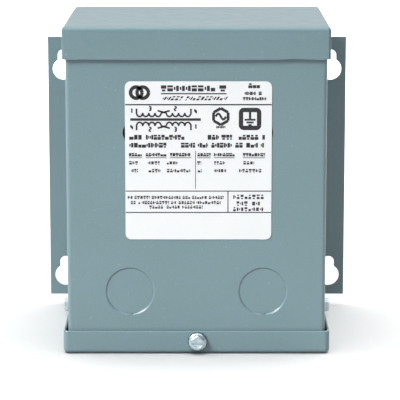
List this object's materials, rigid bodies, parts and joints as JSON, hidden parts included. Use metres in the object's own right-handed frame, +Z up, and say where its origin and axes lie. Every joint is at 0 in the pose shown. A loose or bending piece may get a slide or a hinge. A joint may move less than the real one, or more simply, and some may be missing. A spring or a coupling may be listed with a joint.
{
  "type": "wall-mount dry-type transformer",
  "caption": "Potted transformer in a rainproof sheet-steel box with a rain cap, keyhole flanges, knockouts and a bottom cover that comes off.",
  "frame": {"origin": "middle of the whole object in plan, on the underside of the bottom cover that it stands on", "axes": "+Z up, +Y towards the wall behind the mounting plate, +X to the right as seen from the front"},
  "size_m": [0.1914, 0.135, 0.1953],
  "materials": {
    "enclosure_paint": "satin blue-grey baked enamel with a fine orange peel",
    "label_film": "off-white printed polyester film, semi-matte",
    "zinc_plate": "bright zinc plating",
    "ground_green": "green lacquer over zinc",
    "lamination_steel": "stacked silicon-steel laminations with a dark oxide film",
    "magnet_wire": "layers of enamelled copper wire, varnished",
    "insulating_paper": "tan aramid paper, varnished",
    "moulded_nylon": "moulded nylon with a fine grain",
    "bolt_steel": "plain turned steel, slightly dull",
    "primary_lead": "black cross-linked insulation, smooth satin",
    "secondary_lead": "natural white cross-linked insulation, smooth satin",
    "cast_compound": "dark sand-filled casting compound, granular and matte"
  },
  "bodies": {
    "bottom_cover": {"bottom_cover": "enclosure_paint", "cover_nut_plate": "zinc_plate"},
    "enclosure": {"case_shell": "enclosure_paint", "rain_cap": "enclosure_paint", "back_plate": "enclosure_paint", "nameplate": "label_film", "side_nut_left": "zinc_plate", "side_nut_right": "zinc_plate", "ground_bracket": "zinc_plate", "ground_nut": "zinc_plate", "core_e_stack": "lamination_steel", "core_i_stack": "lamination_steel", "coil_bobbin": "moulded_nylon", "secondary_winding": "magnet_wire", "winding_insulation": "insulating_paper", "primary_winding": "magnet_wire", "coil_wrap": "insulating_paper", "core_bolt_1": "bolt_steel", "core_bolt_2": "bolt_steel", "core_bolt_3": "bolt_steel", "core_bolt_4": "bolt_steel", "core_nut_1": "bolt_steel", "core_nut_2": "bolt_steel", "core_nut_3": "bolt_steel", "core_nut_4": "bolt_steel", "cast_compound": "cast_compound", "lead_h1": "primary_lead", "lead_h2": "primary_lead", "lead_h3": "primary_lead", "lead_h4": "primary_lead", "lead_x1": "secondary_lead", "lead_x2": "secondary_lead", "lead_x3": "secondary_lead", "lead_x4": "secondary_lead", "lead_tie_left": "moulded_nylon", "lead_tie_right": "moulded_nylon"},
    "cover_washer": {"cover_washer": "zinc_plate"},
    "cover_screw": {"cover_screw": "zinc_plate"},
    "side_washer_left": {"side_washer_left": "zinc_plate"},
    "side_screw_left": {"side_screw_left": "zinc_plate"},
    "side_washer_right": {"side_washer_right": "zinc_plate"},
    "side_screw_right": {"side_screw_right": "zinc_plate"},
    "ground_washer": {"ground_washer": "zinc_plate"},
    "ground_screw": {"ground_screw": "ground_green"},
    "knockout_left": {"knockout_left": "enclosure_paint"},
    "knockout_right": {"knockout_right": "enclosure_paint"}
  },
  "joints": [
    {"name": "enclosure_lift", "type": "slide", "parent": "bottom_cover", "child": "enclosure", "axis": [0, 0, 1], "range_m": [0, 0.06]},
    {"name": "cover_screw_advance", "type": "slide", "parent": "bottom_cover", "child": "cover_washer", "axis": [0, -1, 0], "range_m": [0, 0.00317]},
    {"name": "cover_screw_turn", "type": "hinge", "parent": "cover_washer", "child": "cover_screw", "pos_m": [0.0007, -0.06345, 0.0076], "axis": [0, -1, 0], "range_deg": [0, 1080]},
    {"name": "side_screw_left_advance", "type": "slide", "parent": "enclosure", "child": "side_washer_left", "axis": [-1, 0, 0], "range_m": [0, 0.00317]},
    {"name": "side_screw_left_turn", "type": "hinge", "parent": "side_washer_left", "child": "side_screw_left", "pos_m": [-0.0806, 0.03245, 0.0076], "axis": [-1, 0, 0], "range_deg": [0, 1080]},
    {"name": "side_screw_right_advance", "type": "slide", "parent": "enclosure", "child": "side_washer_right", "axis": [1, 0, 0], "range_m": [0, 0.00317]},
    {"name": "side_screw_right_turn", "type": "hinge", "parent": "side_washer_right", "child": "side_screw_right", "pos_m": [0.0806, 0.03245, 0.0076], "axis": [1, 0, 0], "range_deg": [0, 1080]},
    {"name": "ground_screw_advance", "type": "slide", "parent": "enclosure", "child": "ground_washer", "axis": [0, 0, 1], "range_m": [0, 0.00317]},
    {"name": "ground_screw_turn", "type": "hinge", "parent": "ground_washer", "child": "ground_screw", "pos_m": [0, 0.05515, 0.0413], "axis": [0, 0, 1], "range_deg": [0, 1080]},
    {"name": "knockout_left_tie", "type": "hinge", "parent": "enclosure", "child": "knockout_left", "pos_m": [-0.03945, -0.05905, 0.02375], "axis": [-1, 0, 0], "range_deg": [0, 90]},
    {"name": "knockout_right_tie", "type": "hinge", "parent": "enclosure", "child": "knockout_right", "pos_m": [0.03945, -0.05905, 0.02375], "axis": [-1, 0, 0], "range_deg": [0, 90]}
  ],
  "couplings": [
    {"joint": "cover_screw_turn", "follows": "cover_screw_advance", "rad_per_m": 5936.8},
    {"joint": "side_screw_left_turn", "follows": "side_screw_left_advance", "rad_per_m": 5936.8},
    {"joint": "side_screw_right_turn", "follows": "side_screw_right_advance", "rad_per_m": 5936.8},
    {"joint": "ground_screw_turn", "follows": "ground_screw_advance", "rad_per_m": 5936.8}
  ]
}
